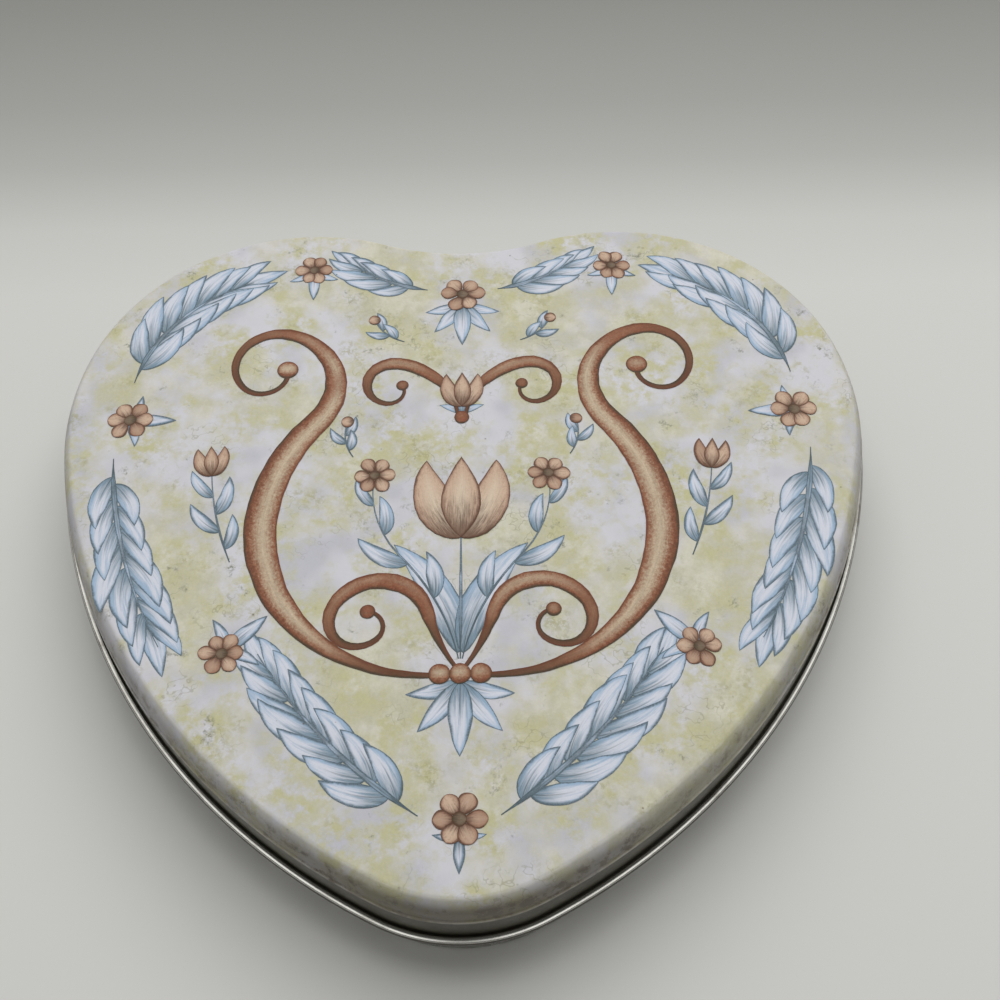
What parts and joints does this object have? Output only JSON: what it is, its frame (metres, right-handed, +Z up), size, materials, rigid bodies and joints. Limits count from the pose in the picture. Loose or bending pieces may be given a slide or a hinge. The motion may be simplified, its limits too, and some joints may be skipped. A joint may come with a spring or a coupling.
{
  "type": "heart trinket box",
  "caption": "Shallow heart-shaped tinplate box with a slip-on lid that lifts off, for small keepsakes. The lid is printed and edged by a bare metal curl.",
  "frame": {"origin": "on the surface that the box stands on, under the middle of its bounding box", "axes": "+Z up, +X to the right across the heart's width, +Y towards the notch, so the tip points to -Y; the plane X = 0 mirrors the box"},
  "size_m": [0.1436, 0.135, 0.023],
  "materials": {
    "printed_tinplate": "satin",
    "bare_tinplate": "bright"
  },
  "bodies": {
    "body": {"body_wall": "bare_tinplate", "bottom_panel": "bare_tinplate"},
    "lid": {"lid": "printed_tinplate"}
  },
  "joints": [
    {"name": "lid_lift", "type": "slide", "parent": "body", "child": "lid", "axis": [0, 0, 1], "range_m": [0, 0.06]}
  ]
}
